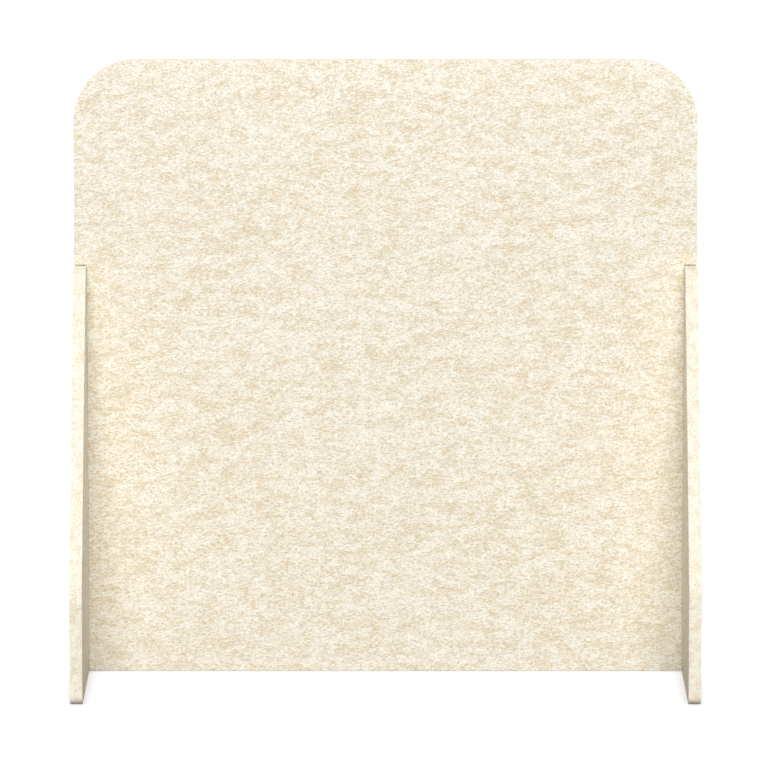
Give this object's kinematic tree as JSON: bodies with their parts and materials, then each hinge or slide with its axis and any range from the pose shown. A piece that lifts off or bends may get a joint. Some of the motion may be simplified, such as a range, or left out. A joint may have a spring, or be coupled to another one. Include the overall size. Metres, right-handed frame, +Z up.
{
  "type": "acoustic divider screen",
  "caption": "Free-standing acoustic screen: an upright felt board with round top corners, held by two tapered felt side panels that also stand as its feet.",
  "frame": {"origin": "on the floor, midway between the side panels and in the middle of the main panel's thickness", "axes": "+X across the screen to the right as seen from its front, +Y towards its back, +Z up"},
  "size_m": [1.2, 0.69, 1.195],
  "materials": {
    "panel_felt": "matte cream needle felt with fine tan and white marling",
    "side_felt": "matte cream needle felt with fine tan and white marling, smoother on its cut edges",
    "plated_steel": "satin zinc plating",
    "nut_brass": "plain turned brass"
  },
  "bodies": {
    "root": {"main_panel": "panel_felt", "left_side_panel": "side_felt", "right_side_panel": "side_felt", "left_bolts": "plated_steel", "right_bolts": "plated_steel", "left_washers": "plated_steel", "right_washers": "plated_steel", "left_barrel_nuts": "nut_brass", "right_barrel_nuts": "nut_brass"}
  },
  "joints": []
}
